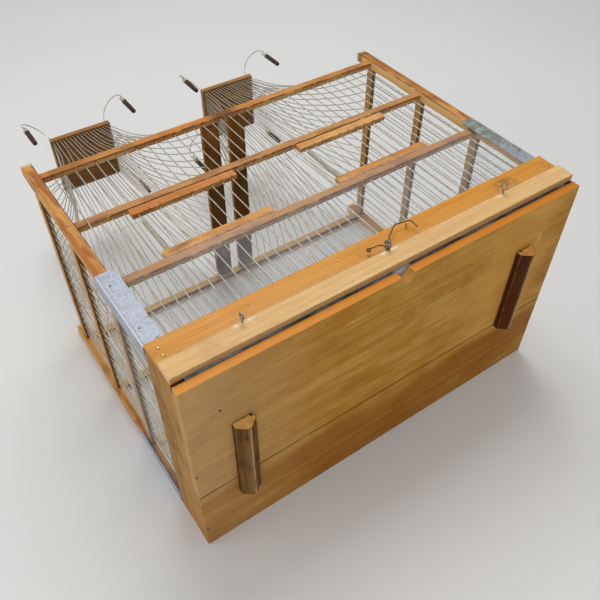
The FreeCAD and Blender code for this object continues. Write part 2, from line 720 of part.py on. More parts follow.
def curl_shape(foot, outward):
    """The bent wire: a seat in the cap, an arch, and an eye rolled back under its tip."""
    radius = mm("curl_radius")
    small = mm("curl_eye_radius")
    eye = curl_eye(foot, outward)
    points = [foot - UP * (mm("cap_thickness") / 2)]
    for angle in spread(int(mm("curl_runs")) + 1, 0, math.pi):
        points.append(foot + outward * (radius * (1 - math.cos(angle))) + UP * (radius * math.sin(angle)))
    for step in range(1, int(mm("curl_eye_runs")) + 1):
        angle = math.radians(mm("curl_eye_step") * step)
        points.append(eye + outward * (small * math.cos(angle)) - UP * (small * math.sin(angle)))
    return bent_wire(points, outward.cross(UP), mm("curl_wire"))


# Pendants: a turned rod under a ferrule, linked to the eye by a small ring.
def pendant_shapes(foot, outward):
    """The ferrule with its link, and the rod below, hung from a curl's eye."""
    eye = curl_eye(foot, outward)
    drop = mm("curl_eye_radius") * math.cos(math.radians(mm("curl_eye_step") / 2))
    aside = UP.cross(outward)
    inner = mm("link_radius")
    hub = eye - UP * (drop + inner - mm("curl_wire") / 2 - mm("link_play"))
    start = hub - outward * (mm("link_wire") / 2)
    first_way = (aside + UP * math.tan(math.pi / 8)).normalize()
    rings = [slab(ring_points(start, first_way, outward.cross(first_way), radius / math.cos(math.pi / 8), 8),
                  outward * mm("link_wire")) for radius in (inner + mm("link_wire"), inner)]
    ferrule_top = hub - UP * (inner + mm("link_wire") / 2)
    ferrule = slab(ring_points(ferrule_top, outward, aside, mm("ferrule_diameter") / 2, 12),
                   UP * -mm("ferrule_length"))
    stem_top = ferrule_top - UP * mm("ferrule_length")
    stem = slab(ring_points(stem_top, outward, aside, mm("pendant_diameter") / 2, 12),
                UP * -mm("pendant_length"))
    return [rings[0].cut(rings[1]).fuse(ferrule).removeSplitter(), stem]


for side, sign in (("left", -1), ("right", 1)):
    curls = []
    for end, lean in (("outer", sign), ("inner", -sign)):
        for place, facing in (("front", -1), ("back", 1)):
            foot, outward = curl_foot(sign * mm("cap_offset"), lean, facing)
            curls.append(curl_shape(foot, outward))
            shaped(f"{side}_{place}_{end}_pendant", Part.makeCompound(pendant_shapes(foot, outward)))
    shaped(f"{side}_curls", Part.makeCompound(curls))

# Fasteners: brass screws and pins in the front strip, steel nails in the tin corners.
screws = []
head_face = "strip_face - screw_head"
for side, sign in (("left", "-"), ("right", "")):
    for k, rise in enumerate(("strip_height / 4", "strip_height * 3 / 5")):
        screws.append(peg(f"{side}_strip_screw_{k}", "screw_diameter",
                          "screw_head + strip_thickness + screw_bite",
                          f"{sign}(half_length - side_thickness * 3 / 4)", head_face,
                          f"strip_bottom + {rise}"))
for k, across in enumerate(("pin_inset - half_length", "middle_pin_place", "half_length - pin_inset")):
    screws.append(peg(f"strip_pin_{k}", "pin_diameter", "screw_head + strip_thickness", across, head_face,
                      "strip_bottom + strip_height * 3 / 5"))
group("strip_screws", screws)
node(peg("latch_pin", "pin_diameter", "latch_pin_reach + strip_thickness", "latch_pin_place",
         "strip_face - latch_pin_reach", "strip_bottom + strip_height * 3 / 5"), "latch_pin")

nails = []
for side, across in (("left", "post_width / 2 - half_length"), ("right", "half_length - post_width / 2")):
    for k, rise in enumerate(("tin_height / 5", "tin_height * 4 / 5")):
        nails.append(peg(f"{side}_tin_nail_{k}", "nail_diameter", "nail_head + tin_sheet + wire_seat", across,
                         "front_plane - tin_sheet - nail_head", f"side_top + {rise}"))
    for level, height in (("mid", "mid_rail"), ("top", "top_rail")):
        nails.append(peg(f"{side}_{level}_rail_nail", "nail_diameter", "nail_head + wire_seat", across,
                         "front_plane - nail_head", f"{height} + rail_height / 2"))
group("frame_nails", nails)

# Check every object before any file is written.
doc.recompute()
for piece in doc.Objects:
    bad = [state for state in piece.State if state in ("Invalid", "Error")]
    if bad:
        raise RuntimeError(f"{piece.Label}: {bad}")
for piece in nodes:
    shape = piece.Shape
    if shape.isNull() or not shape.isValid() or not shape.Solids:
        raise RuntimeError(f"{piece.Label}: no valid solid")
for piece in nodes:
    piece.Shape.exportStep(f"parts/{piece.Label}.step")
print(f"{len(nodes)} nodes, {sum(len(piece.Shape.Solids) for piece in nodes)} solids")
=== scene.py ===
import math
import random

import bmesh
import bpy
from mathutils import Matrix, Vector, noise


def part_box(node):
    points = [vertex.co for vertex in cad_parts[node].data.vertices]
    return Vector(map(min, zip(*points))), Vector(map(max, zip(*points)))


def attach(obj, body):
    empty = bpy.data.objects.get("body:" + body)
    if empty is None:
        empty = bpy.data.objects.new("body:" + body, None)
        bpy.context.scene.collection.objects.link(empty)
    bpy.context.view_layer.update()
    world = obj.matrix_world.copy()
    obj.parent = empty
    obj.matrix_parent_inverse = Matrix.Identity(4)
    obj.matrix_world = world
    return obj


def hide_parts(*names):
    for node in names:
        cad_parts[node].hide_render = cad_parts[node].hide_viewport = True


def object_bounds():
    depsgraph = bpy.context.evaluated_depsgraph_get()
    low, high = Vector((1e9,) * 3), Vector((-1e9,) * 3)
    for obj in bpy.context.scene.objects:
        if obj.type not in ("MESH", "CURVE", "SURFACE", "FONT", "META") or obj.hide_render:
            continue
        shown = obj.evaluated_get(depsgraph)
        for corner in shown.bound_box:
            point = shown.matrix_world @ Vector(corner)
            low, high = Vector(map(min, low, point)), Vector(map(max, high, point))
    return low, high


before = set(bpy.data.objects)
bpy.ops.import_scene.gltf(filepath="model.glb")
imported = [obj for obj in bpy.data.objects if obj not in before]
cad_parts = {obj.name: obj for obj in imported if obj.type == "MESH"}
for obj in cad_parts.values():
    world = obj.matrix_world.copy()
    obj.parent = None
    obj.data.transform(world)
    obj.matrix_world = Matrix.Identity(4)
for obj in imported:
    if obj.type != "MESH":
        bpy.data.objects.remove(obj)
cad_low, cad_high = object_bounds()


# Floor planks: three softwood boards side by side, varnished and darkened with age.
# The front one has an orange sawn edge and a finger scoop, and all three are nailed
# up into the end boards from below.
class Tone:
    """A value or colour that varies over a surface: one output socket of a shader node."""

    def __init__(self, socket):
        self.socket = socket

    def node(self, kind, settings, inputs, output=0):
        """Add a node beside this socket: its settings first, then its values and links."""
        made = self.socket.id_data.nodes.new(kind)
        for name, value in settings.items():
            setattr(made, name, value)
        feed(made, inputs)
        return Tone(made.outputs[output])

    def maths(self, operation, first, second):
        """Add one step of arithmetic."""
        return self.node("ShaderNodeMath", {"operation": operation}, {0: first, 1: second})

    def __add__(self, other):
        return self.maths("ADD", self, other)

    def __sub__(self, other):
        return self.maths("SUBTRACT", self, other)

    def __rsub__(self, other):
        return self.maths("SUBTRACT", other, self)

    def __mul__(self, other):
        return self.maths("MULTIPLY", self, other)

    def __gt__(self, other):
        return self.maths("GREATER_THAN", self, other)

    def __lt__(self, other):
        return self.maths("LESS_THAN", self, other)

    def __neg__(self):
        return 0 - self

    def __abs__(self):
        return self.maths("ABSOLUTE", self, 0)

    def most(self, other):
        """The greater of this and another value."""
        return self.maths("MAXIMUM", self, other)

    def fade(self, low, high):
        """Nought below low, one above high, and a soft step between."""
        limits = {"Value": self, "From Min": low, "From Max": high}
        return self.node("ShaderNodeMapRange", {"interpolation_type": "SMOOTHSTEP"}, limits)

    def between(self, first, second):
        """The first colour where this is nought, the second where it is one."""
        colours = {"Factor": self, 6: first, 7: second}
        return self.node("ShaderNodeMix", {"data_type": "RGBA"}, colours, 2)

    def tint(self, mask, *shade):
        """This colour, laid over with another shade as far as a mask says."""
        return mask.between(self, hue(*shade))

    def cloud(self, size, detail, seed):
        """Soft noise read at this place, with so many lumps to the metre along each axis."""
        shift = (seed * 1.37, seed * 2.11, seed * 0.73)
        terms = {0: self, 1: size, 2: shift}
        spot = self.node("ShaderNodeVectorMath", {"operation": "MULTIPLY_ADD"}, terms)
        return self.node("ShaderNodeTexNoise", {}, {"Vector": spot, "Scale": 1.0, "Detail": detail})

    def along(self, axis):
        """One coordinate of this place."""
        return self.node("ShaderNodeSeparateXYZ", {}, {0: self}, axis)

    def facing(self, axis):
        """How squarely the surface at this place faces along one axis, from -1 to 1."""
        return Tone(self.socket.node.outputs["Normal"]).along(axis)

    def off(self, place, size=(1, 1, 1)):
        """How far this place is from another, with each axis stretched by its own share."""
        there = [at * share for at, share in zip(place, size)]
        here = self.node("ShaderNodeVectorMath", {"operation": "MULTIPLY"}, {0: self, 1: size})
        return here.node("ShaderNodeVectorMath", {"operation": "DISTANCE"}, {0: here, 1: there}, 1)

    def painted(self, layer):
        """A value that the mesh carries at its corners."""
        return self.node("ShaderNodeAttribute", {"attribute_name": layer}, {}, 2)


def feed(node, inputs):
    """Give a shader node what varies by links and what is the same all over by value."""
    for name, value in inputs.items():
        if isinstance(value, Tone):
            node.id_data.links.new(value.socket, node.inputs[name])
        else:
            node.inputs[name].default_value = value


def hue(red, green, blue):
    """A colour as it looks on a screen, 0 to 255, turned into the shader's own numbers."""
    parts = [part / 255 for part in (red, green, blue)]
    linear = [((part + 0.055) / 1.055) ** 2.4 if part > 0.04 else part / 12.92 for part in parts]
    return (*linear, 1.0)


def surface(name):
    """A new finish, and the place on the piece that its patterns are read from."""
    material = bpy.data.materials.new(name)
    material.use_nodes = True
    spot = material.node_tree.nodes.new("ShaderNodeTexCoord")
    return material, Tone(spot.outputs["Object"])


def dress(material, colour, roughness, relief=None, depth=0.0003, **others):
    """Feed the finish's shader with its colour, roughness, relief and other values."""
    inputs = {"Base Color": colour, "Roughness": roughness}
    if relief:
        heights = {"Height": relief, "Distance": depth, "Strength": 0.6}
        inputs["Normal"] = relief.node("ShaderNodeBump", {}, heights)
    for name, value in others.items():
        inputs[name.replace("_", " ")] = value
    feed(material.node_tree.nodes["Principled BSDF"], inputs)
    return material


def timber(name, run, pale, deep, stain, rubbed, seed, grime=0.5, gloss=0.5, over=None, last=None,
           shine=0.25):
    """Old varnished wood: grain along one axis, stains, and bare wood where edges are rubbed.

    The piece's own marks go on before the edges are rubbed, and its last ones after that."""
    material, where = surface(name)

    def grain(fineness, detail, step):
        """Noise drawn out along the wood's run."""
        size = [fineness] * 3
        size[run] *= 0.035
        return where.cloud(size, detail, seed + step)

    bands = grain(75, 3, 0)
    streaks = grain(420, 4, 1)
    pores = grain(1500, 2, 2)
    blotches = where.cloud([24] * 3, 4, seed + 3)
    scuffs = where.cloud([260] * 3, 3, seed + 4)
    edge = where.painted("edge")
    colour = (bands * 0.55 + streaks * 0.45).fade(0.38, 0.62).between(pale, deep)
    colour = (pores.fade(0.54, 0.72) * 0.4).between(colour, stain)
    colour = (blotches.fade(0.5, 0.72) * grime).between(colour, stain)
    if over:
        colour = over(where, colour)
    colour = (edge * scuffs.fade(0.36, 0.54) * 0.8).between(colour, rubbed)
    colour = where.painted("notch").between(colour, stain)
    if last:
        colour = last(where, colour)
    roughness = streaks * 0.2 + blotches * 0.25 + edge * 0.1 + (gloss - 0.2)
    return dress(material, colour, roughness, streaks * 0.7 + pores * 0.3, Specular_IOR_Level=shine,
                 Coat_Weight=shine * 0.16, Coat_Roughness=0.3)


def seat(piece, body, slot, *nodes):
    """Put a finished piece on its body, in place of the plain solids it stands for."""
    bpy.context.scene.collection.objects.link(piece)
    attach(piece, body)
    if nodes:
        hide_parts(*nodes)


def cast(name, solid, finish):
    """A smooth piece from its finished mesh."""
    mesh = bpy.data.meshes.new(name)
    solid.to_mesh(mesh)
    solid.free()
    mesh.shade_smooth()
    mesh.materials.append(finish)
    return bpy.data.objects.new(name, mesh)


def eased(node, finish, slot, body="cage", ease=0.0009, step=0.008, dents=0.0006, cuts=(),
          carve=None):
    """A board from its CAD solid with its arrises eased, rubbed and dented by use."""
    solid = bmesh.new()
    solid.from_mesh(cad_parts[node].data)
    rounded = solid.faces.layers.int.new("rounded")
    edge = solid.verts.layers.float.new("edge")
    notch = solid.verts.layers.float.new("notch")
    bmesh.ops.remove_doubles(solid, verts=solid.verts, dist=1e-6)
    bmesh.ops.dissolve_limit(solid, angle_limit=math.radians(1), verts=solid.verts, edges=solid.edges)
    sharp = [e for e in solid.edges if e.is_manifold and e.calc_face_angle() > math.radians(20)]
    made = bmesh.ops.bevel(solid, geom=sharp, offset=ease, segments=2, profile=0.6, affect="EDGES")
    for face in made["faces"]:
        face[rounded] = 1
    low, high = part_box(node)
    size = high - low
    run = max(range(3), key=lambda axis: size[axis])
    planes = [(run, low[run] + step * k) for k in range(1, int(size[run] / step))]
    planes += [(run, at) for at in cuts]
    for axis in range(3):
        margin = min(3 * ease, size[axis] / 3)
        planes += [(axis, low[axis] + margin), (axis, high[axis] - margin)]
    for axis, at in planes:
        spot, facing = Vector(low), Vector()
        spot[axis] = at
        facing[axis] = 1
        every = solid.verts[:] + solid.edges[:] + solid.faces[:]
        bmesh.ops.bisect_plane(solid, geom=every, dist=1e-6, plane_co=spot, plane_no=facing)
    solid.normal_update()
    shift = Vector((len(node), run, sum(map(ord, node)) % 17))
    for vert in solid.verts:
        vert[edge] = float(all(face[rounded] for face in vert.link_faces))
        knock = noise.noise(vert.co * 90 + shift) + 0.6 * noise.noise(vert.co * 260 + shift)
        near_edge = any(face[rounded] for face in vert.link_faces)
        hollow = 0.12 * (1 + noise.noise(vert.co * 25 + shift)) + near_edge * max(0, knock)
        vert.co -= vert.normal * dents * hollow
        if carve:
            offset, vert[notch] = carve(vert.co)
            vert.co += offset
    piece = cast(f"worn_{node}", solid, finish)
    piece.modifiers.new("even", "WEIGHTED_NORMAL").keep_sharp = True
    seat(piece, body, slot, node)


RUN_X, RUN_Y, RUN_Z = 0, 1, 2
plank_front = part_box("base_front_plank")[0].y
seams = [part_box(name)[1].y for name in ("base_front_plank", "base_middle_plank")]
scoop_middle = (0, plank_front, 0.02)
scrape_middle = (0.204, -0.0815, 0.015)


def plank_marks(where, colour):
    """Amber flames in the grain, a grey left end, a paler right one, a scrape and dark flecks.

    The rear planks are browner, and painted shade carries the brown onto the front plank's rear margin.
    The front edge is orange."""
    length = where.along(0)
    across = where.along(1)
    flames = where.cloud((17, 32, 32), 5, 8)
    cloudy = where.cloud((5, 14, 14), 3, 9)
    flecks = where.cloud((90, 420, 420), 2, 10)
    colour = colour.tint(flames.fade(0.46, 0.64) * 0.6, 166, 108, 16)
    # Painted shade: the rear brown ramps in across the front plank's rear margin.
    rear = across.fade(seams[0] - 0.006, seams[0] + 0.022)
    brown = (rear * 0.62 + 0.12) * (cloudy.fade(0.28, 0.52) * 0.6 + 0.4)
    colour = colour.tint(brown, 137, 79, 6)
    left = 1 - length.fade(-0.26, -0.06)
    colour = colour.tint(left * (0.5 - rear * 0.28), 192, 163, 122)
    right = length.fade(0.08, 0.15) * (1 - length.fade(0.2, 0.24)) * (1 - rear)
    colour = colour.tint(right * 0.5, 212, 158, 78)
    scrape = 1 - where.off(scrape_middle, (1, 0.2, 0.2)).fade(0.001, 0.002)
    colour = colour.tint(scrape * 0.5, 232, 192, 124)
    colour = colour.tint(flecks.fade(0.66, 0.74) * 0.45, 104, 64, 20)
    flat = (-where.facing(2)).most(-where.facing(1)).fade(0.9, 0.97)
    near = 1 - where.off(scoop_middle).fade(0.024, 0.03)
    colour = colour.tint(near * (1 - flat) * 0.6, 208, 152, 84)
    edge = length.fade(-0.25, 0.25).between(hue(226, 150, 66), hue(204, 122, 40))
    return ((across < plank_front + 0.0006) * 0.85).between(colour, edge)


def plank_seams(where, colour):
    """A dark seam behind the front plank and a faint pale one behind the middle plank."""
    wander = where.cloud([40] * 3, 2, 12) * 0.0012
    for seam, shade, strength in zip(seams, (hue(92, 52, 14), hue(190, 136, 68)), (0.85, 0.4)):
        line = abs(where.along(1) + wander - (seam + 0.0006))
        colour = ((1 - line.fade(0.0006, 0.0016)) * strength).between(colour, shade)
    return colour


floor_wood = timber("floor_wood", RUN_X, hue(198, 153, 72), hue(176, 126, 44), hue(120, 74, 18),
                    hue(204, 156, 82), 3, 0.35, 0.55, plank_marks, plank_seams, shine=0.08)
for node in ("base_front_plank", "base_middle_plank", "base_back_plank"):
    eased(node, floor_wood, "floor_wood", ease=0.0006, step=0.012)


# Runner feet: two dark hardwood sticks with sloping sides, nailed under the floor.
# The narrow foot of each is rubbed pale by use. The dark sides are partly painted shade, the golden
# ends partly painted light.
left_ridge = -0.1932
runner_spacing = 0.373
left_runner_middle = 0.0096


def runner_marks(where, colour):
    """A redder right runner, end smears, painted light by the left ridge, the pale foot, and golden
    ends partly painted light.
    """
    along = where.along(1)
    smears = where.cloud((160, 40, 160), 4, 13)
    end_grain = where.cloud((160, 90, 420), 2, 14)
    right = where.along(0) > 0
    colour = colour.tint(right * 0.85, 74, 32, 8)
    tips = abs(along - left_runner_middle).fade(0.03, 0.062)
    colour = colour.tint(tips * smears.fade(0.46, 0.6) * 0.7, 48, 28, 12)
    aside = where.along(0) - right * runner_spacing - left_ridge
    foot = (-where.facing(2)).fade(0.9, 0.98) * aside.fade(-0.0004, 0.0004)
    # Painted light on the left runner's left slope beside its ridge.
    lit = (1 - right) * aside.fade(-0.0098, -0.0006) * (1 - aside.fade(-0.0002, 0.0002))
    colour = colour.tint(lit * smears.fade(0.3, 0.6) * 0.5, 158, 120, 70)
    bare = right * 0.3 + smears.fade(0.3, 0.56) * 0.6
    colour = colour.tint(foot * bare, 204, 172, 128)
    # The end faces are golden: partly end grain, partly painted light.
    ends = abs(where.facing(1)).fade(0.75, 0.92)
    golden = end_grain.fade(0.3, 0.7).between(hue(238, 186, 112), hue(214, 158, 84))
    return ends.between(colour, golden)


# The dark brown is partly the runners' dirt and partly painted shade on their sloping sides.
runner_wood = timber("runner_wood", RUN_Y, hue(124, 88, 42), hue(90, 56, 20), hue(54, 30, 10),
                     hue(132, 98, 54), 11, 0.6, 0.6, runner_marks, shine=0.08)
for node in ("left_runner", "right_runner"):
    eased(node, runner_wood, "dark_wood", ease=0.0012, dents=0.001)


# Base boards: the ends, the back and the sill behind the front strip, thin varnished
# softwood standing on the floor with the posts let into their top edges.
slot_top = 0.026
slot_back = -0.128


def slot_painted_shade(where, colour):
    """Painted shade: the boards' front ends are dark inside the tray's slot."""
    low = 1 - where.along(2).fade(slot_top, slot_top + 0.003)
    inside = low * (1 - where.along(1).fade(slot_back, slot_back + 0.008))
    # Painted shade, nearly black, low on the front ends inside the slot.
    return colour.tint(inside * 0.95, 22, 16, 10)


base_tones = (hue(178, 129, 54), hue(154, 106, 39), hue(100, 62, 20), hue(204, 158, 88))
base_wood_y = timber("base_wood_y", RUN_Y, *base_tones, 17, last=slot_painted_shade, shine=0.1)
base_wood_x = timber("base_wood_x", RUN_X, *base_tones, 19, shine=0.1)
for node in ("left_end_board", "right_end_board"):
    eased(node, base_wood_y, "honey_wood")
for node in ("back_board", "front_sill"):
    eased(node, base_wood_x, "honey_wood")


# Zinc tray: a folded sheet pan, dull grey with whitish bloom and scratches from scraping.
# It slides on the floor behind the drawer front.
def sheet_metal(name, bright, dull, bloom, grain, seed, marks):
    """Dipped or rolled sheet: faint crystal spangle, cloudy bloom and fine scratches."""
    material, where = surface(name)
    cells = where.node("ShaderNodeTexVoronoi", {}, {"Vector": where, "Scale": grain}, 1)
    spangle = cells.along(0)
    cloudy = where.cloud([45] * 3, 5, seed)
    speckle = where.cloud([420] * 3, 3, seed + 1)
    colour = (spangle * 0.3 + speckle * 0.7).fade(0.3, 0.7).between(dull, bright)
    colour = (cloudy.fade(0.45, 0.7) * 0.6).between(colour, bloom)
    colour = marks(where, colour)
    roughness = spangle * 0.1 + cloudy * 0.25 + 0.34
    return dress(material, colour, roughness, speckle * 0.4 + cloudy, 0.00005, Metallic=0.45)


def coat(node, finish):
    """Give a plain CAD solid its finish."""
    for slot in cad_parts[node].material_slots:
        slot.material = finish


lip_middle = (0, -0.13, 0.027)


def tray_slot_shade_and_light(where, colour):
    """Painted shade makes the lip nearly black in the slot, in broken streaks, and painted light
    brightens it behind the scoop.
    """
    streaks = where.cloud((30, 200, 300), 4, 6)
    slot = (1 - where.along(1).fade(-0.126, -0.118)) * streaks.fade(0.34, 0.6)
    near = 1 - where.off(lip_middle).fade(0.008, 0.014)
    left = 1 - where.along(0).fade(-0.225, -0.15)
    # Painted shade in the slot, lighter towards the left and behind the scoop.
    slot_shade = slot * (1 - near * 0.8) * (0.88 - left * 0.6)
    colour = colour.tint(slot_shade, 30, 35, 40)
    # Painted light on the lip behind the scoop.
    return colour.tint(near * 0.6, 196, 202, 224)


tray_zinc = sheet_metal("tray_zinc", hue(150, 158, 172), hue(116, 124, 138), hue(172, 178, 186),
                        160, 5, tray_slot_shade_and_light)
coat("zinc_tray", tray_zinc)


# Drawer front and the strip above it: the drawer's is pale unvarnished wood, scuffed
# beside its screw eyes; the strip is glossy orange and screwed across the front.
scuff_places = (-0.1725, -0.1595, -0.0055, 0.0065, 0.1535)
scuff_level = 0.0462
smudge_middle = (0.178, -0.1384, 0.058)


def under_shade_and_eye_scuffs(where, colour):
    """A browner underside, painted shade, and whitish rub marks to each side of the screw eyes."""
    ragged = where.cloud((300, 300, 500), 3, 31)
    # Painted shade on the drawer front's underside.
    under = (-where.facing(2)).fade(0.45, 0.75)
    colour = colour.tint(under * 0.75, 164, 128, 80)
    for place in scuff_places:
        spot = where.off((place, 0, scuff_level), (0.38, 0, 1))
        mark = (1 - spot.fade(0.0008, 0.0032)) * ragged.fade(0.34, 0.52)
        colour = colour.tint(mark * 0.75, 240, 222, 200)
    return colour


def strip_marks(where, colour):
    """The strip's lower half is paler, and a smoky smudge lies by the right eye."""
    ragged = where.cloud([90] * 3, 3, 41)
    low = 1 - (where.along(2) + ragged * 0.006).fade(0.055, 0.064)
    colour = colour.tint(low * 0.4, 212, 160, 84)
    smudge = (1 - where.off(smudge_middle).fade(0.004, 0.022)) * ragged.fade(0.4, 0.6)
    return colour.tint(smudge * 0.6, 110, 78, 44)


drawer_wood = timber("drawer_wood", RUN_X, hue(228, 190, 134), hue(216, 172, 112), hue(168, 120, 68),
                     hue(228, 190, 134), 23, 0.2, 0.6, under_shade_and_eye_scuffs)
strip_wood = timber("strip_wood", RUN_X, hue(214, 148, 54), hue(202, 132, 38), hue(150, 88, 24),
                    hue(220, 164, 80), 29, 0.25, 0.45, strip_marks)
eased("drawer_front", drawer_wood, "pale_wood", "drawer", ease=0.0012)
eased("front_strip", strip_wood, "honey_wood", ease=0.0008)


# Screw eyes: three steel eyes turned into the drawer front to pull it by.
# Each is one wire: a shank and a ring that almost closes on it.
def strung(name, runs, thickness, finish, closed=False, swell=None):
    """Round wire along each run of points, as one curve."""
    curve = bpy.data.curves.new(name, "CURVE")
    curve.dimensions = "3D"
    curve.bevel_depth = thickness / 2
    curve.bevel_resolution = 2
    curve.resolution_u = 4
    curve.use_fill_caps = True
    for points in runs:
        spline = curve.splines.new("NURBS")
        spline.points.add(len(points) - 1)
        for k, point in enumerate(points):
            spline.points[k].co = (*point, 1.0)
            spline.points[k].radius = swell[k] if swell else 1.0
        spline.use_cyclic_u = closed
        spline.use_endpoint_u = not closed
        spline.order_u = 3
    curve.materials.append(finish)
    return bpy.data.objects.new(name, curve)


def bar_metal(name, bright, dull, patina, seed, amount=0.5, polish=0.3):
    """Drawn wire: silvery, dulled in patches, with a yellowish patina."""
    material, where = surface(name)
    patches = where.cloud([60] * 3, 4, seed)
    specks = where.cloud([700] * 3, 2, seed + 1)
    colour = specks.fade(0.35, 0.65).between(bright, dull)
    colour = (patches.fade(0.42, 0.66) * amount).between(colour, patina)
    roughness = patches * 0.3 + specks * 0.2 + (polish - 0.15)
    return dress(material, colour, roughness, specks, 0.0001, Metallic=0.55)


def ring(middle, first, second, radius, start, sweep, count):
    """Points round part of a circle that lies in the plane of two directions."""
    turns = [start + sweep * k / count for k in range(count + 1)]
    return [middle + first * (radius * math.cos(turn)) + second * (radius * math.sin(turn))
            for turn in turns]


def centre(node):
    """The middle of a CAD solid's box."""
    low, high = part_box(node)
    return (low + high) / 2


X, Y, Z = Vector((1, 0, 0)), Vector((0, 1, 0)), Vector((0, 0, 1))
eye_low, eye_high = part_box("drawer_eyes")
eye_level = centre("drawer_eyes").z
ring_middle = eye_low.y + 0.004
ring_radius = 0.0031
shank_depths = (eye_high.y, -0.1420, -0.1446)
eye_steel = bar_metal("eye_steel", hue(172, 174, 178), hue(104, 106, 110), hue(120, 106, 84), 37, 0.4)
runs = []
for place, slant in ((-0.167, 0), (0.0, 0), (0.160, math.radians(30))):
    ring_rise = Z * math.cos(slant) - X * math.sin(slant)
    hub = Vector((place, ring_middle, eye_level))
    shank = [Vector((place, y, eye_level)) for y in shank_depths]
    runs.append(shank + ring(hub, Y, ring_rise, ring_radius, 0.35, 2 * math.pi - 0.75, 14))
swell = [1.2, 1.2, 1.1] + [1.0] * 15
seat(strung("screw_eyes", runs, 0.0018, eye_steel, swell=swell), "drawer", "eye_steel", "drawer_eyes")


# Latch: one length of dark wire with a finger loop, hooked round the middle eye's shank
# and wound on itself, then bent up over the strip and down behind a pin.
latch_steel = bar_metal("latch_steel", hue(104, 98, 92), hue(62, 58, 56), hue(88, 66, 46), 43)
latch_line = -0.1439
pivot = Vector((0, latch_line, eye_level))
loop = pivot + Vector((-0.0176, -0.0004, 0.0084))
points = [point + Y * (0.0012 - 0.0012 * k / 20)
          for k, point in enumerate(ring(loop, X, Z, 0.0018, 0.1, -4 * math.pi + 0.3, 20))]
arm = ((-0.0140, -0.0008, 0.0082), (-0.0050, -0.0010, 0.0076), (-0.0016, -0.0004, 0.0050))
points += [pivot + Vector(step) for step in arm]
points += [point + Y * (0.0007 - 0.0014 * k / 10)
           for k, point in enumerate(ring(pivot, Z, -X, 0.0019, 0.4, 2 * math.pi - 0.4, 10))]
winding = pivot + Vector((0.0020, -0.0012, 0.0062))
points += [point + X * (0.0054 * k / 26)
           for k, point in enumerate(ring(winding, Y, Z, 0.0016, 1.4, 6.5 * math.pi, 26))]
hook = ((0.0088, 0.0100), (0.0150, 0.0144), (0.0224, 0.0195), (0.0262, 0.0222), (0.0290, 0.0226),
        (0.0341, 0.0213), (0.0425, 0.0198), (0.0448, 0.0186), (0.0452, 0.0146), (0.0440, 0.0087),
        (0.0446, 0.0078), (0.0456, 0.0086))
points += [pivot + Vector((x, -0.0010, z)) for x, z in hook]
seat(strung("latch_hook", [points], 0.0014, latch_steel), "latch", "latch_steel", "drawer_latch")


# Posts and rails: slim sticks of honey-coloured wood. The posts stand in the end
# boards and the rails run between them, bored for the wires, with splintered
# undersides where the drill broke through.
frame_tones = (hue(208, 152, 78), hue(180, 120, 50), hue(106, 58, 20), hue(224, 184, 122))
post_low, post_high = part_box("front_left_post")
post_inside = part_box("front_right_post")[0].x


def post_marks(where, colour):
    """Orange varnish stains in long patches, and pale broken heads.

    The right posts are browner higher up, their inner faces are painted light, and the front one's head
    is dark below its top."""
    patches = where.cloud((70, 70, 16), 4, 49)
    colour = colour.tint(patches.fade(0.51, 0.59) * 0.8, 154, 86, 30)
    right = where.along(0) > 0
    height = where.along(2)
    higher = right * height.fade(0.15, 0.35) * patches.fade(0.34, 0.54)
    colour = colour.tint(higher * 0.6, 150, 88, 32)
    # Painted light on the right posts' inner faces.
    inner = right * (-where.facing(0)).fade(0.7, 0.9)
    colour = colour.tint(inner * 0.75, 240, 194, 124)
    stub = height.fade(post_high.z - 0.014, post_high.z - 0.009) * (1 - where.facing(2).fade(0.5, 0.8))
    colour = colour.tint(right * (where.along(1) < 0) * stub * 0.65, 104, 52, 32)
    head = height + patches * 0.010
    return colour.tint(head.fade(post_high.z - 0.002, post_high.z + 0.004) * 0.8, 230, 204, 158)


def post_lines(where, colour):
    """A dark line along the inner front arris of the two front posts.

    The lower half of the left one is also rubbed to a darker band along its outer arris."""
    across = where.along(0)
    waves = where.cloud((40, 40, 60), 3, 50)
    reach = (1 - where.along(2).fade(0.245, 0.29)) * 0.0055 + (waves - 0.5) * 0.003
    inner = 1 - (abs(across) - post_inside).fade(0.0010, 0.0020)
    front = 1 - (where.along(1) - post_low.y).fade(0.0006, 0.0014)
    broken = where.cloud((30, 30, 40), 4, 51).fade(0.36, 0.5)
    colour = colour.tint(inner * front * broken * 0.85, 104, 54, 22)
    band = (reach - across + post_low.x).fade(-0.0003, 0.0005)
    return colour.tint(band * front * 0.75, 168, 92, 30)


corners = ("front_left", "front_right", "back_left", "back_right")
post_wood = timber("post_wood", RUN_Z, *frame_tones, 47, 0.5, 0.5, post_marks, post_lines)
for place in corners:
    eased(f"{place}_post", post_wood, "honey_wood", ease=0.0012)


def spaced(start, end, count):
    """Even places between two ends, with a full pitch left at each end."""
    return [start + (end - start) / (count + 1) * k for k in range(1, count + 1)]


front_places = spaced(post_high.x, post_inside, 36)
end_places = spaced(post_high.y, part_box("back_left_post")[0].y, 20)
rail_feet = [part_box(f"front_{level}_rail")[0].z for level in ("low", "mid", "top")]
rail_height = 0.0115
rail_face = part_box("front_top_rail")[0].y


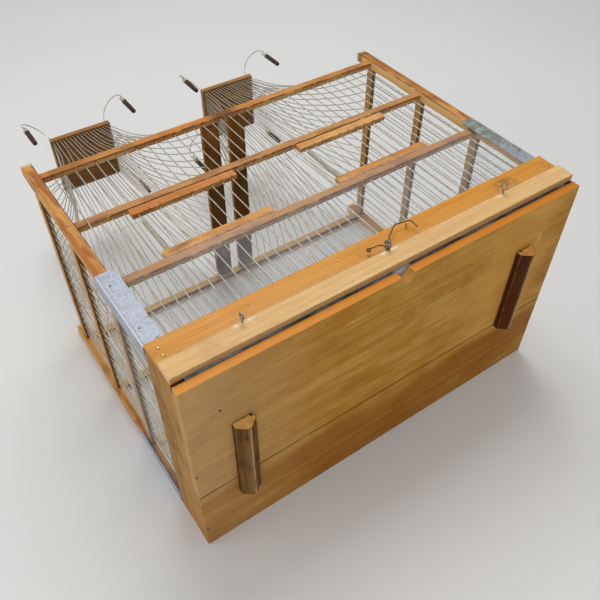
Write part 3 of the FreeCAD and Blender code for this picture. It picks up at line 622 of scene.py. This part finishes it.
def rail_marks(where, colour):
    """A yellowed low rail, a pinkish middle one, an orange top one with a stain by the slats, and
    undersides partly painted light.
    """
    height = where.along(2)
    patches = where.cloud((14, 60, 60), 4, 55)
    low = (height < rail_feet[2] - 0.02) * patches.fade(0.3, 0.6)
    colour = colour.tint(low * 0.7, 182, 132, 88)
    lowest = height < rail_feet[0] + 0.03
    colour = colour.tint(lowest * 0.6, 188, 126, 44)
    top = (height > rail_feet[2] - 0.02) * patches.fade(0.42, 0.58)
    colour = colour.tint(top * 0.7, 198, 118, 40)
    dull = where.cloud((26, 70, 70), 4, 58)
    colour = colour.tint(dull.fade(0.52, 0.62) * 0.5, 132, 84, 44)
    stain = 1 - where.off((0, rail_face, rail_feet[2] + 0.006)).fade(0.008, 0.03)
    colour = colour.tint(stain * patches.fade(0.4, 0.52) * 0.8, 96, 48, 24)
    # The undersides are painted pale: partly bare wood round the holes, partly painted light.
    under = (-where.facing(2)).fade(0.6, 0.85)
    bare = patches.fade(0.35, 0.65).between(hue(202, 168, 108), hue(160, 116, 60))
    return (under * 0.75).between(colour, bare)


def rail_lines(where, colour):
    """A dark red-brown line along the lower front arris of each front rail."""
    height = where.along(2)
    broken = where.cloud([60] * 3, 3, 57).fade(0.3, 0.5)
    front = 1 - (where.along(1) - rail_face).fade(0.0008, 0.0020)
    for foot in rail_feet:
        line = 1 - abs(height - foot).fade(0.0010, 0.0022)
        colour = colour.tint(line * front * broken * 0.85, 92, 42, 18)
    return colour


def rear_light_and_shade(where, colour):
    """The end and back rails' inner faces are painted light, and their undersides painted dark brown
    shade.
    """
    # Painted light on the faces turned to the inside.
    inward = (1 - (where.along(0) > 0) * 2) * where.facing(0)
    inner = inward.most(-where.facing(1)).fade(0.7, 0.9)
    colour = colour.tint(inner * 0.6, 188, 152, 86)
    # Painted shade on the undersides.
    under = (-where.facing(2)).fade(0.6, 0.85)
    return colour.tint(under * 0.8, 78, 47, 18)


rail_wood_front = timber("rail_wood_front", RUN_X, *frame_tones, 53, 0.5, 0.5, rail_marks, rail_lines)
rail_wood_x = timber("rail_wood_x", RUN_X, *frame_tones, 56, 0.55, over=rear_light_and_shade)
rail_wood_y = timber("rail_wood_y", RUN_Y, *frame_tones, 59, 0.55, over=rear_light_and_shade)


def splinters(axis, places, seed, deep, dark, feet=rail_feet):
    """A carving: how far a point by a wire hole is broken up from below, and how dark it is, partly
    stain and partly painted shadow of the wire.
    """

    def broken(point):
        place = min(places, key=lambda at: abs(at - point[axis]))
        rise = point.z - max(foot for foot in feet if foot <= point.z + 0.002)
        lump = noise.noise((place * 900, seed, point.z // 0.05))
        width = 0.0021 + 0.0008 * lump
        close = max(0.0, 1 - (abs(point[axis] - place) / width) ** 2)
        amount = close * max(0.0, 1 - rise / 0.003)
        # Darkening round each hole: partly stain, partly painted shadow of the wire.
        stain_and_shadow = min(1.0, max(0.0, 0.55 + 1.1 * lump)) * amount * dark
        return Vector((0, 0, deep * (1 + 0.7 * lump) * amount)), stain_and_shadow

    return broken


def hole_cuts(places):
    """Where a bar's mesh is cut across so that it can break at each wire hole."""
    return [place + step for place in places for step in (-0.0024, -0.0012, 0, 0.0012, 0.0024)]


for level in ("low", "mid", "top"):
    eased(f"front_{level}_rail", rail_wood_front, "honey_wood", cuts=hole_cuts(front_places),
          carve=splinters(0, front_places, len(level), 0.0006, 0.75))
eased("back_rails", rail_wood_x, "honey_wood", cuts=hole_cuts(front_places),
      carve=splinters(0, front_places, 5, 0.0003, 0.2))
for side, seed in (("left", 7), ("right", 9)):
    eased(f"{side}_rails", rail_wood_y, "honey_wood", cuts=hole_cuts(end_places),
          carve=splinters(1, end_places, seed, 0.0003, 0.2))


# Cage wires: straight drawn wires threaded up through the rails, a little bent by use.
# Those in the two doorways stop at the rails below and above, and the first has
# sprung out in front of the middle rail.
cage_wire = bar_metal("cage_wire", hue(208, 204, 194), hue(158, 152, 138), hue(186, 158, 96), 61)
wire_thickness = 0.0014
thin_wire = 0.0013
front_bend = 0.0006
rear_bend = 0.0008
luck = random.Random(8)
door_wires = set(range(6, 15)) | set(range(23, 32))
wire_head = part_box("front_wires")[1].z
rail_middles = [foot + rail_height / 2 for foot in rail_feet]


def nudge(bend):
    """A small level shift, no more than the bend along each axis."""
    return Vector((luck.uniform(-bend, bend), luck.uniform(-bend, bend), 0))


def upright(x, y, foot, head, bend):
    """A wire from foot to head that is true at the rails and wanders between them."""
    stops = [foot] + [z for z in rail_middles if foot + 0.01 < z < head - 0.01] + [head]
    points = [Vector((x, y, foot))]
    for low, high in zip(stops, stops[1:]):
        sway = nudge(bend)
        for share in (0.3, 0.7):
            points.append(Vector((x, y, low + (high - low) * share)) + sway)
        points += [Vector((x, y, high - 0.003)), Vector((x, y, high))]
    return points


def wired(node, runs, thickness=wire_thickness, body="cage"):
    """A set of cage wires in place of their plain solids."""
    seat(strung(f"{node[:-1]}_set", runs, thickness, cage_wire), body, "steel_wire", node)


front_line = centre("front_wires").y
front_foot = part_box("front_wires")[0].z
runs = []
for k, x in enumerate(front_places, start=1):
    if k in door_wires:
        runs.append(upright(x, front_line, front_foot, rail_middles[0], front_bend))
        runs.append(upright(x, front_line, rail_middles[1], wire_head, front_bend))
    elif k == 1:
        mid = rail_middles[1]
        sprung = ((0, front_foot), (0, mid - 0.09), (-0.002, mid - 0.03), (-0.0056, mid - 0.006),
                  (-0.0056, mid + 0.006), (-0.002, mid + 0.03), (0, mid + 0.07), (0, wire_head))
        runs.append([Vector((x, front_line + y, z)) for y, z in sprung])
    else:
        runs.append(upright(x, front_line, front_foot, wire_head, front_bend))
wired("front_wires", runs)
back_line = centre("back_wires").y
side_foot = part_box("back_wires")[0].z
runs = [upright(x, back_line, side_foot, wire_head, rear_bend) for x in front_places]
wired("back_wires", runs)
for side in ("left", "right"):
    line = centre(f"{side}_end_wires").x
    runs = [upright(line, y, side_foot, wire_head, rear_bend) for y in end_places]
    wired(f"{side}_end_wires", runs)


# Seed guards: strips of window glass that stand in the recess outside the wires,
# hazy with dust. Tin corners folded round the posts hold their edges.
def pane_glass():
    """Thin old glass: nearly clear, with a bluish film that thickens in smears."""
    material, where = surface("pane_glass")
    film = where.cloud((14, 14, 30), 5, 67)
    smears = where.cloud((120, 120, 40), 3, 68)
    colour = film.fade(0.35, 0.65).between(hue(172, 186, 198), hue(206, 212, 214))
    veil = film * 0.08 + smears.fade(0.5, 0.75) * 0.04 + 0.03
    return dress(material, colour, smears * 0.1 + 0.3, Alpha=veil)


guard_glass = pane_glass()
for node in ("front_pane", "back_pane", "left_pane", "right_pane"):
    coat(node, guard_glass)


def tin_stains_and_fold_highlight(where, colour):
    """Greenish stains creeping down the right front corner, rust low on all four, and a painted
    highlight on the folds.
    """
    ragged = where.cloud((70, 70, 110), 5, 71)
    right_front = (where.along(0) > 0.2) * (where.along(1) < -0.1)
    upper = where.along(2).fade(0.09, 0.15)
    colour = colour.tint(right_front * 0.3, 140, 146, 140)
    colour = colour.tint(right_front * upper * ragged.fade(0.38, 0.54) * 0.8, 112, 119, 88)
    low = 1 - where.along(2).fade(0.09, 0.14)
    colour = colour.tint(ragged.fade(0.58, 0.68) * (low * 0.5 + 0.15), 104, 88, 64)
    specks = where.cloud([520] * 3, 2, 72)
    colour = colour.tint(specks.fade(0.58, 0.7) * 0.55, 96, 99, 104)
    # Painted highlight along each fold.
    bend = abs(where.facing(0) * where.facing(1)).fade(0.2, 0.48)
    return colour.tint(bend, 212, 217, 226)


def formed(name, solid, finish, crease):
    """A piece made point by point: faces turned outward, and folds beyond the crease kept sharp."""
    bmesh.ops.recalc_face_normals(solid, faces=solid.faces)
    piece = cast(name, solid, finish)
    piece.data.set_sharp_from_angle(angle=math.radians(crease))
    return piece


def folded(node, finish, fold=0.003, sheet=0.0008, lip=0.004):
    """A sheet angle bent round a post: two legs, a round fold and rounded corners at the lips."""
    low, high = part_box(node)
    place = centre(node)
    corner = Vector((low.x if place.x < 0 else high.x, low.y if place.y < 0 else high.y, 0))
    inward = X * math.copysign(1, -place.x), Y * math.copysign(1, -place.y)
    leg = high.x - low.x

    def outline(depth):
        """Points round the angle at one depth in the sheet, from lip to lip."""
        run = [leg - lip * share for share in (0, 0.06, 0.2, 0.45, 1)]
        run += [lip + (leg - 2 * lip) * share for share in (0.75, 0.5, 0.25, 0)]
        turns = [math.pi / 2 * k / 8 for k in range(9)]
        hub = corner + (inward[0] + inward[1]) * fold
        bend = fold - depth
        arc = [hub - (inward[1] * math.cos(turn) + inward[0] * math.sin(turn)) * bend for turn in turns]
        first = [corner + inward[0] * at + inward[1] * depth for at in run]
        second = [corner + inward[1] * at + inward[0] * depth for at in reversed(run)]
        tips = [leg - at for at in run] + [leg] * 9 + [leg - at for at in reversed(run)]
        return list(zip(first + arc + second, tips))

    solid = bmesh.new()
    rows = 12
    skins = []
    for depth in (0, sheet):
        grid = []
        for point, tip in outline(depth):
            drop = lip - math.sqrt(max(0, lip * lip - max(0, lip - tip) ** 2))
            column = []
            for k in range(rows + 1):
                spot = point + Z * (low.z + (high.z - drop - low.z) * k / rows)
                dent = max(0, noise.noise(spot * 45)) * 0.00025
                column.append(solid.verts.new(spot + (inward[0] + inward[1]) * dent))
            grid.append(column)
        skins.append(grid)
    for grid in skins:
        for left, right in zip(grid, grid[1:]):
            for k in range(rows):
                solid.faces.new((left[k], right[k], right[k + 1], left[k + 1]))
    rims = [[column[0] for column in grid] + grid[-1][1:]
            + [column[rows] for column in grid[-2::-1]] + grid[0][-2:0:-1] for grid in skins]
    for k in range(len(rims[0])):
        solid.faces.new((rims[0][k - 1], rims[0][k], rims[1][k], rims[1][k - 1]))
    seat(formed(f"folded_{node}", solid, finish, 50), "cage", "galvanised_tin", node)


corner_tin = sheet_metal("corner_tin", hue(173, 179, 190), hue(147, 153, 165), hue(185, 191, 202),
                         260, 73, tin_stains_and_fold_highlight)
for place in corners:
    folded(f"{place}_tin", corner_tin)


# Doors: a top and a bottom bar that turn on a hinge wire, with nine wires between.
# The bars are the rails' wood but less handled, and broken out below the holes.
bar_feet = (0.1726, 0.2514)
bar_height = 0.011
door_levels = ((bar_feet[0] + bar_height - 0.003, 0), (0.200, 1), (0.236, 1), (bar_feet[1] + 0.003, 0))


def door_marks(where, colour):
    """Pale patches, a deeper orange top bar on the left door, and pale undersides."""
    patches = where.cloud((26, 70, 70), 4, 81)
    colour = colour.tint(patches.fade(0.42, 0.62) * 0.6, 228, 174, 108)
    orange = (where.along(0) < 0) * (where.along(2) > bar_feet[1] - 0.01)
    colour = colour.tint(orange * 0.65, 190, 108, 34)
    under = (-where.facing(2)).fade(0.6, 0.85)
    bare = patches.fade(0.35, 0.65).between(hue(122, 76, 30), hue(196, 156, 92))
    return (under * 0.7).between(colour, bare)


door_wood = timber("door_wood", RUN_X, hue(212, 152, 82), hue(184, 120, 54), hue(104, 58, 22),
                   hue(228, 188, 130), 79, 0.45, over=door_marks)
for side, first in (("left", 5), ("right", 22)):
    body = f"{side}_door"
    places = front_places[first:first + 9]
    eased(f"{side}_door_bars", door_wood, "honey_wood", body, cuts=hole_cuts(places),
          carve=splinters(0, places, first, 0.00025, 0.6, bar_feet))
    runs = []
    for x in places:
        sway = nudge(front_bend)
        runs.append([Vector((x, front_line, z)) + sway * free for z, free in door_levels])
    wired(f"{side}_door_wires", runs, thin_wire, body)


# Door springs: close-wound steel coils slipped over the hinge wires. The upper end
# runs out as a straight leg across the fixed wires and pushes the door shut.
spring_steel = bar_metal("spring_steel", hue(216, 214, 200), hue(184, 180, 164), hue(190, 180, 150),
                         83, 0.35)
spring_radius = 0.0023
turn_steps = 10
runs = []
for first, length, turns, leg in ((5, 0.054, 40, 0.036), (22, 0.061, 45, 0.054)):
    foot = Vector((front_places[first - 1], front_line, bar_feet[0] + bar_height + 0.0012))
    steps = turns * turn_steps
    coil = ring(foot, X, Y, spring_radius, -math.pi / 2, -2 * math.pi * turns, steps)
    points = [point + Z * (length * k / steps) for k, point in enumerate(coil)]
    last = points[-1]
    points += [last - X * (leg * share) for share in (0.06, 0.3, 0.65, 1.0)]
    runs.append(points)
seat(strung("door_coils", runs, 0.0009, spring_steel), "cage", "spring_wire", "door_springs")


# Valley slats and caps: two amber boards across the roof between the towers, and a
# small board at the top of each tower, drilled underneath for the wires' heads.
cap_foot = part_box("left_cap")[0].z


def roof_painted_shade(where, colour):
    """Painted shade on the undersides, the slats' darker the further they are from the front."""
    under = (-where.facing(2)).fade(0.5, 0.8)
    deep = where.along(1).fade(-0.12, -0.02)
    slats = where.along(2) < cap_foot - 0.01
    # Painted shade: undersides darker, the slats' more so towards the back.
    return colour.tint(under * (slats * deep * 0.3 + 0.35), 48, 29, 8)


# The slats' wood is written darker than the other amber wood: painted shade of the roof's inside.
slat_wood = timber("slat_wood", RUN_Y, hue(172, 118, 50), hue(143, 92, 31), hue(86, 50, 15),
                   hue(190, 136, 70), 89, gloss=0.65, over=roof_painted_shade, shine=0.12)
cap_wood = timber("cap_wood", RUN_X, hue(168, 120, 58), hue(138, 92, 41), hue(84, 52, 22),
                  hue(200, 150, 88), 97, over=roof_painted_shade)
for side in ("left", "right"):
    eased(f"{side}_valley_slat", slat_wood, "amber_wood")
    eased(f"{side}_cap", cap_wood, "amber_wood", ease=0.0007, dents=0.0004)


# Roof wires: four fans to each tower, sagging inward from under the cap down to the
# rails and the valley slat, each bent a little differently.
cap_inset = 0.0035
fan_bend = math.radians(40)
fan_count = 18
end_share = 8 / 9


def fan_wire(head, foot):
    """One roof wire on a shallow arc that sags inward and down."""
    chord = foot - head
    level = Vector((chord.x, chord.y, 0)).normalized()
    inward = (level * chord.z - Z * chord.dot(level)).normalized()
    along = chord.normalized()
    aside = along.cross(inward)
    radius = chord.length / 2 / math.sin(fan_bend / 2)
    hub = (head + foot) / 2 - inward * (radius * math.cos(fan_bend / 2))
    points = []
    for k in range(7):
        turn = fan_bend * (k / 6 - 0.5)
        point = hub + (inward * math.cos(turn) + along * math.sin(turn)) * radius
        if 0 < k < 6:
            point += inward * luck.uniform(-0.0016, 0.0010) + aside * luck.uniform(-0.0012, 0.0012)
        points.append(point)
    return points


def spread(low, high):
    """The places of a fan's wires along one line."""
    return [low + (high - low) * k / (fan_count - 1) for k in range(fan_count)]


head_level = cap_foot + 0.0025
foot_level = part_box("front_top_rail")[1].z - 0.00125
for side, sign in (("left", -1), ("right", 1)):
    low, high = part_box(f"{side}_cap")
    cap = centre(f"{side}_cap")
    edge_x = sign * ((high.x - low.x) / 2 - cap_inset)
    edge_y = (high.y - low.y) / 2 - cap_inset
    feet = front_places[:fan_count] if sign < 0 else front_places[:-fan_count - 1:-1]
    slat_line = centre(f"{side}_valley_slat").x
    end_line = centre(f"{side}_end_wires").x
    runs = []
    for edge, landing in ((cap.y - edge_y, front_line), (cap.y + edge_y, back_line)):
        for head, foot in zip(spread(cap.x + edge_x, cap.x - edge_x), feet):
            runs.append(fan_wire(Vector((head, edge, head_level)), Vector((foot, landing, foot_level))))
    for edge, landing in ((cap.x + edge_x, end_line), (cap.x - edge_x, slat_line)):
        heads = spread(cap.y - edge_y * end_share, cap.y + edge_y * end_share)
        for head, foot in zip(heads, spread(end_places[0], end_places[-1])):
            runs.append(fan_wire(Vector((edge, head, head_level)), Vector((landing, foot, foot_level))))
    wired(f"{side}_roof_wires", runs, thin_wire)


# Corner curls and pendants: a wire curls up and out from each cap corner to a small
# eye, and a dark turned stick hangs there from a link and a pale metal ferrule.
def round_rows(solid, circles):
    """Faces between rings of points, and over the first and last ring."""
    rows = [[solid.verts.new(point) for point in points] for points in circles]
    for upper, lower in zip(rows, rows[1:]):
        for k in range(len(upper)):
            solid.faces.new((upper[k - 1], lower[k - 1], lower[k], upper[k]))
    solid.faces.new(rows[0])
    solid.faces.new(rows[-1])


def circle(middle, first, second, radius, steps):
    """Points all the way round a circle, the first one not repeated."""
    return ring(middle, first, second, radius, 0, 2 * math.pi * (steps - 1) / steps, steps - 1)


def turned(name, outline, place, finish):
    """A piece turned on an upright lathe: pairs of radius and height, from the top down."""
    solid = bmesh.new()
    round_rows(solid, [circle(place + Z * height, X, Y, radius, 20) for radius, height in outline])
    return formed(name, solid, finish, 40)


curl_radius = 0.0235
curl_eye = 0.0026
curl_foot = (0.042, 0.041)
link_radius = 0.0028
ferrule = ((0.0012, 0.0), (0.0028, -0.0003), (0.0038, -0.0012), (0.0036, -0.0021), (0.0040, -0.0028),
           (0.0040, -0.0048), (0.0037, -0.0060))
pendant_wood = timber("pendant_wood", RUN_Z, hue(66, 44, 34), hue(46, 30, 24), hue(28, 18, 14),
                      hue(120, 84, 60), 101, 0.4)
ferrule_metal = bar_metal("ferrule_metal", hue(222, 214, 186), hue(168, 158, 126),
                          hue(168, 134, 74), 103)
for side, sign in (("left", -1), ("right", 1)):
    cap = centre(f"{side}_cap")
    cap_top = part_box(f"{side}_cap")[1].z
    runs = []
    for end, lean in (("outer", sign), ("inner", -sign)):
        for place, facing in (("front", -1), ("back", 1)):
            outward = Vector((lean, facing, 0)).normalized()
            foot = Vector((cap.x + lean * curl_foot[0], cap.y + facing * curl_foot[1], cap_top))
            eye = foot + outward * (2 * curl_radius - curl_eye)
            points = [foot - Z * 0.004]
            points += ring(foot + outward * curl_radius, -outward, Z, curl_radius, 0, math.pi, 12)
            points += ring(eye, outward, -Z, curl_eye, 0.6, 4.6, 8)
            runs.append(points)
            name = f"{side}_{place}_{end}"
            body = f"{name}_hanger"
            node_low, node_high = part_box(f"{name}_pendant")
            axis = centre(f"{name}_pendant")
            link_middle = Vector((axis.x, axis.y, node_high.z - 0.0033))
            link = circle(link_middle, Z.cross(outward), Z, link_radius, 12)
            seat(strung(f"{name}_link", [link], 0.001, cage_wire, closed=True), body, "steel_wire")
            top = Vector((axis.x, axis.y, node_high.z - 0.0061))
            seat(turned(f"{name}_ferrule", ferrule, top, ferrule_metal), body, "eye_steel")
            bottom = node_low.z - top.z
            outline = ((0.0030, -0.0056), (0.0034, -0.0062), (0.0035, -0.016), (0.0034, -0.028),
                       (0.0032, bottom + 0.0015), (0.0027, bottom + 0.0004), (0.0018, bottom))
            stick = turned(f"{name}_stick", outline, top, pendant_wood)
            seat(stick, body, "pendant_wood", f"{name}_pendant")
    wired(f"{side}_curls", runs)


# Fasteners: brass screws and pins in the strip, steel nails through the tin and the posts,
# iron ones in the floor and the runners. Their heads are domed and stand a little proud.
screw_brass = bar_metal("screw_brass", hue(232, 202, 122), hue(186, 146, 70), hue(140, 108, 56), 107)
nail_steel = bar_metal("nail_steel", hue(150, 146, 140), hue(96, 92, 88), hue(110, 84, 60), 109)
floor_iron = bar_metal("floor_iron", hue(92, 76, 58), hue(60, 48, 36), hue(84, 56, 30), 111, 0.7, 0.5)


def domed(name, spots, radius, height, finish, outward=-Y, upward=Z):
    """Low domed heads that all face one way, as one piece."""
    solid = bmesh.new()
    outline = ((1.0, -0.3), (1.0, 0.25), (0.82, 0.72), (0.45, 0.97))
    for spot in spots:
        round_rows(solid, [circle(spot + outward * (height * rise), X, upward, radius * share, 14)
                           for share, rise in outline])
    return formed(name, solid, finish, 50)


strip_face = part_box("front_strip")[0].y
pin_level = 0.06532
spots = [Vector((x, strip_face, z)) for x in (-0.241, 0.241) for z in (0.05598, pin_level)]
seat(domed("strip_screw_heads", spots, 0.0021, 0.001, screw_brass), "cage", "brass", "strip_screws")
pins = [Vector((x, strip_face, pin_level)) for x in (-0.150, -0.048, 0.150)]
seat(domed("strip_pin_heads", pins, 0.0012, 0.001, screw_brass), "cage", "brass")
coat("latch_pin", screw_brass)
tin_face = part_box("front_left_tin")[0].y
nail_columns = (-0.24325, 0.24325)
spots = [Vector((x, tin_face, z)) for x in nail_columns for z in (0.099, 0.162)]
spots += [Vector((x, post_low.y, z)) for x in nail_columns for z in (0.26875, 0.37225)]
seat(domed("frame_nail_heads", spots, 0.0013, 0.0006, nail_steel), "cage", "nail_steel", "frame_nails")
floor_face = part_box("base_front_plank")[0].z
back_row = 0.1466
spots = [Vector((x, back_row, floor_face)) for x in (-0.199, -0.086, 0.022, 0.130, 0.216)]
end_nails = ((-0.2136, -0.082), (-0.2478, 0.005), (-0.2475, 0.116), (0.2474, -0.108), (0.2428, 0.001),
             (0.2435, 0.085))
spots += [Vector((x, y, floor_face)) for x, y in end_nails]
seat(domed("floor_nail_heads", spots, 0.0014, 0.0003, floor_iron, -Z, Y), "cage", "nail_steel")
spots = [Vector((x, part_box(f"{side}_runner")[0].y, 0.0128))
         for side, x in (("left", -0.1842), ("right", 0.1730))]
seat(domed("runner_nail_heads", spots, 0.0015, 0.0004, floor_iron), "cage", "nail_steel")


# Studio: a pale floor behind the cage's back, on which it lies in the photograph's
# view, soft light from above the front and a weak fill on the other sides.
floor_mesh = bpy.data.meshes.new("studio_floor")
reach = 6.0
floor_mesh.from_pydata([(-reach, cad_high.y, -reach), (reach, cad_high.y, -reach),
                        (reach, cad_high.y, reach), (-reach, cad_high.y, reach)], [], [(0, 1, 2, 3)])
studio_floor = bpy.data.objects.new("studio_floor", floor_mesh)
bpy.context.scene.collection.objects.link(studio_floor)
floor_paint, where = surface("floor_paint")
mottle = where.cloud([3] * 3, 2, 113)
dress(floor_paint, mottle.between(hue(226, 226, 224), hue(220, 220, 219)), mottle * 0.1 + 0.7)
tree = floor_paint.node_tree
behind = Tone(tree.nodes.new("ShaderNodeNewGeometry").outputs["Backfacing"])
shadow = Tone(tree.nodes.new("ShaderNodeLightPath").outputs["Is Shadow Ray"])
clear = Tone(tree.nodes.new("ShaderNodeBsdfTransparent").outputs[0])
paint = Tone(tree.nodes["Principled BSDF"].outputs[0])
one_sided = paint.node("ShaderNodeMixShader", {}, {0: behind.most(shadow), 1: paint, 2: clear})
tree.links.new(one_sided.socket, tree.nodes["Material Output"].inputs["Surface"])
floor_mesh.materials.append(floor_paint)

world = bpy.data.worlds.new("studio")
world.use_nodes = True
background = world.node_tree.nodes["Background"]
background.inputs["Color"].default_value = hue(228, 228, 228)
background.inputs["Strength"].default_value = 0.55
bpy.context.scene.world = world
lit_middle = Vector((0, 0, 0.25))


def lamp(name, place, size, power):
    """A square soft light that faces the middle of the cage."""
    light = bpy.data.lights.new(name, "AREA")
    light.size = size
    light.energy = power
    stand = bpy.data.objects.new(name, light)
    stand.location = place
    stand.rotation_euler = (lit_middle - Vector(place)).to_track_quat("-Z", "Y").to_euler()
    bpy.context.scene.collection.objects.link(stand)


lamp("key", (0.3, -1.7, 0.9), 1.0, 18)
lamp("under_fill", (-0.9, -1.0, -1.3), 1.2, 9)
lamp("left_fill", (-1.8, -0.5, 0.7), 1.0, 6)
lamp("back_fill", (0.4, 1.7, 0.9), 1.4, 10)


# Camera: the photograph's own view of the cage, from below its front left corner.
# Its place and its three directions were solved from the cage's straight edges.
camera_data = bpy.data.cameras.new("camera")
camera_data.sensor_width = 36.0
camera_data.lens = 40.64
camera = bpy.data.objects.new("camera", camera_data)
stand_point = (-0.3524, -0.5901, -0.3077)
right = Vector((0.82278, -0.00409, -0.56835))
up = Vector((0.41052, -0.68730, 0.59924))
ahead = Vector((0.39307, 0.72636, 0.56382))
turn = Matrix((right, up, -ahead)).transposed().to_4x4()
camera.matrix_world = Matrix.Translation(stand_point) @ turn
bpy.context.scene.collection.objects.link(camera)
bpy.context.scene.camera = camera
bpy.context.scene.view_settings.view_transform = "Standard"
